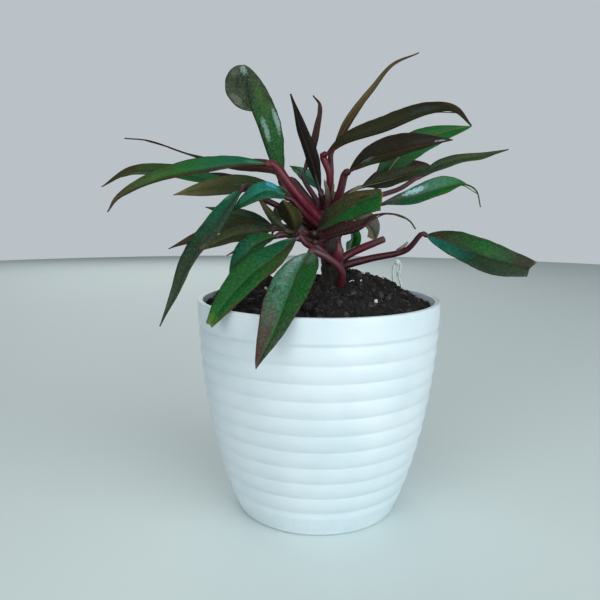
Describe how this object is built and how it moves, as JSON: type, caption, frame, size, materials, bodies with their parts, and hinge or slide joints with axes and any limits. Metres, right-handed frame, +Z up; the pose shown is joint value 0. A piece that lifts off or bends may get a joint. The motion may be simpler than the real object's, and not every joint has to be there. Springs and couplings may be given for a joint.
{
  "type": "potted black majesty philodendron",
  "caption": "Small potted philodendron with long narrow dark-green to bronze leaves on red stalks, in a white ringed plastic pot heaped with potting soil.",
  "frame": {"origin": "on the pot's axis, on the surface that the pot stands on", "axes": "+Z up along the pot's axis; the pictured side faces -Y, with +X to its right"},
  "size_m": [0.2305, 0.1694, 0.2443],
  "materials": {
    "white_plastic": "satin injection-moulded white plastic with soft rings",
    "soil": "matt, loose dark peat with fibres, bark and white perlite",
    "stalk": "smooth glossy purple-red stalk, darker towards the stem",
    "leaf": "glossy leathery leaf, green to bronze, with a sunk rib and fine side veins",
    "wire": "matt white plastic coating"
  },
  "bodies": {
    "root": {"pot": "white_plastic", "soil": "soil", "stem_and_stalks": "stalk", "white_wire": "wire", "upper_torn_leaf": "leaf", "upper_dark_leaf": "leaf", "upper_curled_leaf": "leaf", "upper_tall_leaf": "leaf", "right_top_leaf": "leaf", "right_bronze_leaf": "leaf", "right_back_green_leaf": "leaf", "right_long_leaf": "leaf", "right_olive_leaf": "leaf", "right_back_tip_leaf": "leaf", "right_bright_leaf": "leaf", "right_near_leaf": "leaf", "right_brown_leaf": "leaf", "right_far_leaf": "leaf", "right_hanging_leaf": "leaf", "right_low_leaf": "leaf", "left_long_leaf": "leaf", "left_high_leaf": "leaf", "left_back_leaf": "leaf", "left_olive_leaf": "leaf", "left_thin_leaf": "leaf", "left_drooping_leaf": "leaf", "left_teal_leaf": "leaf", "left_grey_leaf": "leaf", "left_low_back_leaf": "leaf", "left_low_leaf": "leaf", "left_tail_leaf": "leaf", "front_short_leaf": "leaf", "front_thin_leaf": "leaf", "front_cut_leaf": "leaf", "front_green_leaf": "leaf", "front_long_leaf": "leaf", "back_green_leaf": "leaf", "back_arching_leaf": "leaf", "back_left_leaf": "leaf", "back_low_leaf": "leaf"}
  },
  "joints": []
}
